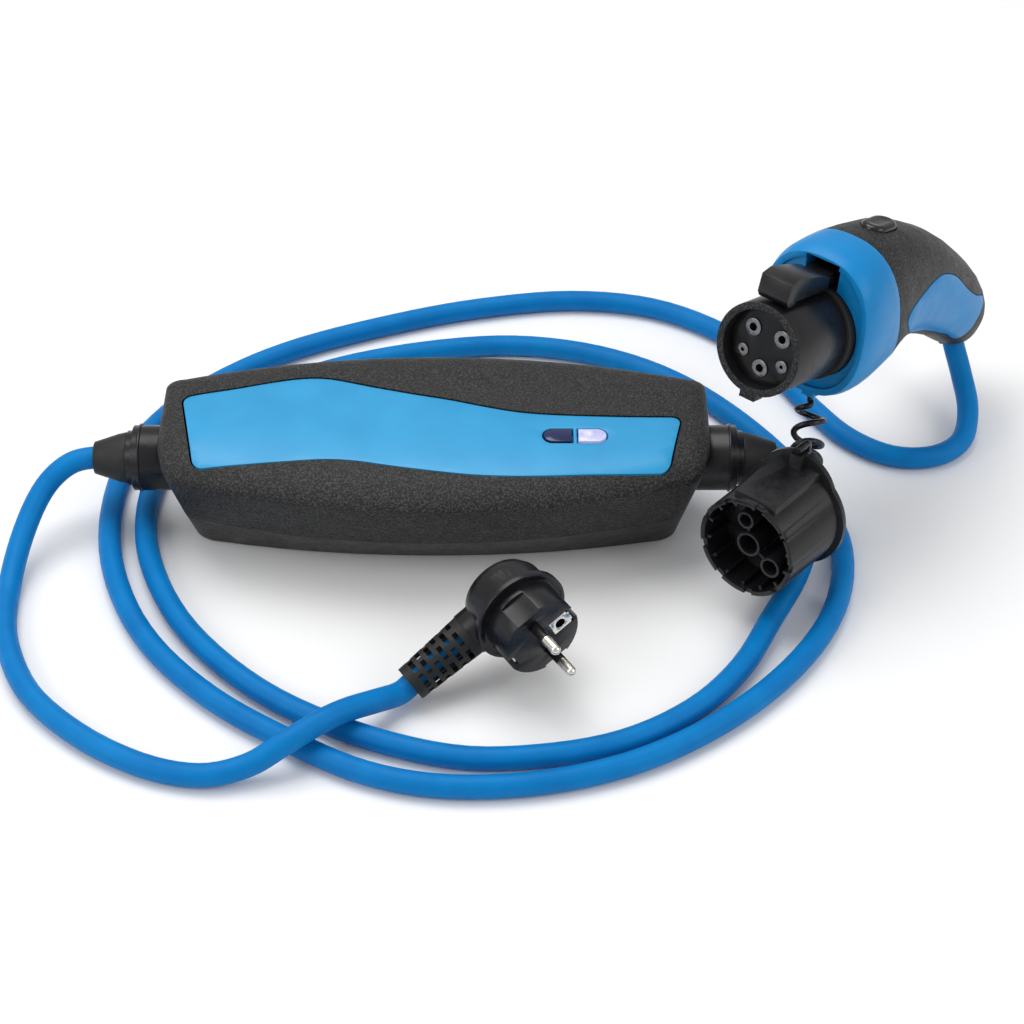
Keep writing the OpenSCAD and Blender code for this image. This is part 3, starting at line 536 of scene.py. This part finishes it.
# blue face in the connector's mouth, between its shell and the seal, open above for the latch
connectorPlace = (Matrix.Translation((0.146, -0.028, 0.122)) @ Matrix.Rotation(math.radians(50), 4, "Z")
                  @ Matrix.Rotation(math.radians(15), 4, "Y"))
faceForm = {"hole": 0.0238, "slotWidth": 0.0184, "slotFloor": 0.022, "slotHeight": 0.04, "middle": 0.048,
            "edge": 0.0006, "points": 64, "roundness": 2.5,
            # each ring, in millimetres: place along the connector, rise, half width, half height, and its
            # lean in degrees
            "rings": [(45.5, 2.3, 25.65, 31.75, 6.5), (51.6, 3, 26.35, 32.8, 8)]}


def faceRing(place, rise, width, height, lean):
    ring = []
    power = faceForm["roundness"]
    for k in range(faceForm["points"]):
        turn = 2 * math.pi * k / faceForm["points"]
        reach = (abs(math.cos(turn)) ** power + abs(math.sin(turn)) ** power) ** (-1 / power)
        up = height * reach * math.sin(turn)
        ring.append(Vector((place - up * math.sin(math.radians(lean)), width * reach * math.cos(turn),
                            rise + up * math.cos(math.radians(lean)))) / 1000)
    return ring


shellFace = loft("shellFace", [faceRing(*row) for row in faceForm["rings"]])
deselectAll()
bpy.ops.mesh.primitive_cylinder_add(vertices=96, radius=faceForm["hole"], depth=0.05,
                                    location=(faceForm["middle"], 0, 0), rotation=(0, math.pi / 2, 0))
faceHole = bpy.context.object
deselectAll()
slotMiddle = faceForm["slotFloor"] + faceForm["slotHeight"] / 2
bpy.ops.mesh.primitive_cube_add(size=1, location=(faceForm["middle"], 0, slotMiddle))
faceSlot = bpy.context.object
faceSlot.scale = (0.04, faceForm["slotWidth"], faceForm["slotHeight"])
for cutter in (faceHole, faceSlot):
    combine(shellFace, cutter)
    bpy.data.objects.remove(cutter)
shellFace.data.transform(connectorPlace)
softenEdges(shellFace, faceForm["edge"])
finishPiece(shellFace, shellBlue, "panel_blue", "root")

# push button with a dished top, drawn as rings from the flange inside the grip to the dish
buttonForm = {"edge": 0.0002, "points": 64,
              # in millimetres: place along the connector, half the distance of its two round ends, their
              # radius, and the height and growth of each ring
              "place": 86, "between": 3.5, "radius": 6.5,
              "rings": [(35.8, 1.4), (37.15, 1.4), (37.2, 0), (42.4, 0), (43.3, -0.2), (44, -0.7),
                        (44.4, -1.4), (44.55, -2.2), (44.45, -3.2), (44.2, -4.4), (44.05, -5.8)]}


def buttonRing(height, grow):
    ring = []
    reach = buttonForm["radius"] + grow
    for k in range(buttonForm["points"]):
        turn = 2 * math.pi * (k + 0.5) / buttonForm["points"]
        centre = buttonForm["place"] + math.copysign(buttonForm["between"], math.cos(turn))
        ring.append(Vector((centre + reach * math.cos(turn), reach * math.sin(turn), height)) / 1000)
    return ring


pushButton = loft("pushButton", [buttonRing(*row) for row in buttonForm["rings"]])
pushButton.data.transform(connectorPlace)
softenEdges(pushButton, buttonForm["edge"])
finishPiece(pushButton, blackGloss, "smooth_black", "button", "release_button")

# the front rim of the nose takes the lighter grained finish, a painted highlight for its edge-lit rim
rimHighlightForm = {"depth": 0.002, "facing": 0.6}
nose = dressed["nose"]
nose.data.materials.append(blackGrain)
noseForward = connectorPlace.to_3x3() @ Vector((-1, 0, 0))
for face in nose.data.polygons:
    behind = (connectorPlace.inverted() @ face.center).x
    if face.normal.dot(noseForward) > rimHighlightForm["facing"] and behind < rimHighlightForm["depth"]:
        face.material_index = 1

# the coil spring under the rear end of the latch, with a mesh of its own
dressed["latch_spring"] = dress("latch_spring", nickel, edge=0)
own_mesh(dressed["latch_spring"])

# the pins are black from their base out to the sleeve length, a painted shade band near the plug body, and
# bare metal at their tips
plugForm = {"place": Vector((0.050, -0.124, 0.036)), "heading": math.radians(-58), "sleeve": 0.0095}
plugForward = Vector((math.cos(plugForm["heading"]), math.sin(plugForm["heading"]), 0))
pins = dressed["plug_pins"]
pick(pins)
bpy.ops.object.mode_set(mode="EDIT")
bpy.ops.mesh.select_all(action="SELECT")
bpy.ops.mesh.bisect(plane_co=plugForm["place"] + plugForward * plugForm["sleeve"], plane_no=plugForward)
bpy.ops.object.mode_set(mode="OBJECT")
pins.data.materials.append(blackSatin)
for face in pins.data.polygons:
    if (face.center - plugForm["place"]).dot(plugForward) < plugForm["sleeve"]:
        face.material_index = 1

# nodes that keep their shape, inside the part
for nodeName, finish in [
        ("housing_seal", blackRubber), ("cover_screws", nickel), ("control_board", boardGreen),
        ("mains_relays", blackSatin), ("current_sensor", blackSatin), ("terminal_blocks", terminalGreen),
        ("latch_pin", nickel)]:
    nodes[nodeName].data.materials.clear()
    nodes[nodeName].data.materials.append(finish)
print("dressed", len(dressed), "nodes")

# moulded sleeve where the lanyard ends on the tab of the cap
sleeve = {"radius": 0.0019, "length": 0.006, "ring": 0.0005, "edge": 0.0005}
sleeveAlong = (coilLine[-1] - coilLine[-12]).normalized()
deselectAll()
bpy.ops.mesh.primitive_cylinder_add(vertices=24, radius=sleeve["radius"], depth=sleeve["length"],
                                    location=coilLine[-1] - sleeveAlong * sleeve["length"] / 2,
                                    rotation=sleeveAlong.to_track_quat("Z", "Y").to_euler())
lanyardEnd = bpy.context.object
lanyardEnd.name = "lanyardEnd"
bpy.ops.object.transform_apply(location=True, rotation=True, scale=True)
bpy.ops.object.mode_set(mode="EDIT")
bpy.ops.mesh.select_all(action="DESELECT")
bpy.ops.object.mode_set(mode="OBJECT")
for face in lanyardEnd.data.polygons:
    face.select = abs(face.normal.dot(sleeveAlong)) > 0.9
bpy.ops.object.mode_set(mode="EDIT")
bpy.ops.mesh.inset(thickness=sleeve["ring"])
bpy.ops.mesh.select_all(action="SELECT")
bpy.ops.object.mode_set(mode="OBJECT")
rounding = lanyardEnd.modifiers.new("rounding", "BEVEL")
rounding.width = sleeve["edge"]
rounding.segments = 3
bpy.ops.object.modifier_apply(modifier=rounding.name)
bpy.ops.object.shade_smooth_by_angle(angle=math.radians(40))
lanyardEnd.data.materials.append(blackSatin)
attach(lanyardEnd, "root")


# floor and light
deselectAll()
bpy.ops.mesh.primitive_plane_add(size=12, location=(0, 2, 0))
floor = bpy.context.object
floor.name = "floor"
floorFinish, _, floorShader = newFinish("paleFloor")
floorShader.inputs["Base Color"].default_value = (0.86, 0.86, 0.86, 1)
floorShader.inputs["Roughness"].default_value = 0.8
floor.data.materials.append(floorFinish)

sky = bpy.data.worlds.new("softSky")
scene.world = sky
sky.use_nodes = True
sky.node_tree.nodes["Background"].inputs["Color"].default_value = (1, 1, 1, 1)
sky.node_tree.nodes["Background"].inputs["Strength"].default_value = 0.55


def softLight(name, place, aim, size, power):
    deselectAll()
    bpy.ops.object.light_add(type="AREA", location=place)
    lamp = bpy.context.object
    lamp.name = name
    lamp.data.size = size
    lamp.data.energy = power
    lamp.rotation_euler = (Vector(aim) - Vector(place)).to_track_quat("-Z", "Y").to_euler()


softLight("topLight", (-0.25, 0.35, 1.4), (0, 0, 0), 1.1, 14)
softLight("leftLight", (-1.3, -0.7, 1.0), (0, 0, 0.03), 0.9, 8)
softLight("rightLight", (1.3, -0.6, 0.9), (0.05, 0, 0.03), 0.9, 6)
scene.view_settings.view_transform = "Standard"
print("stage lit")
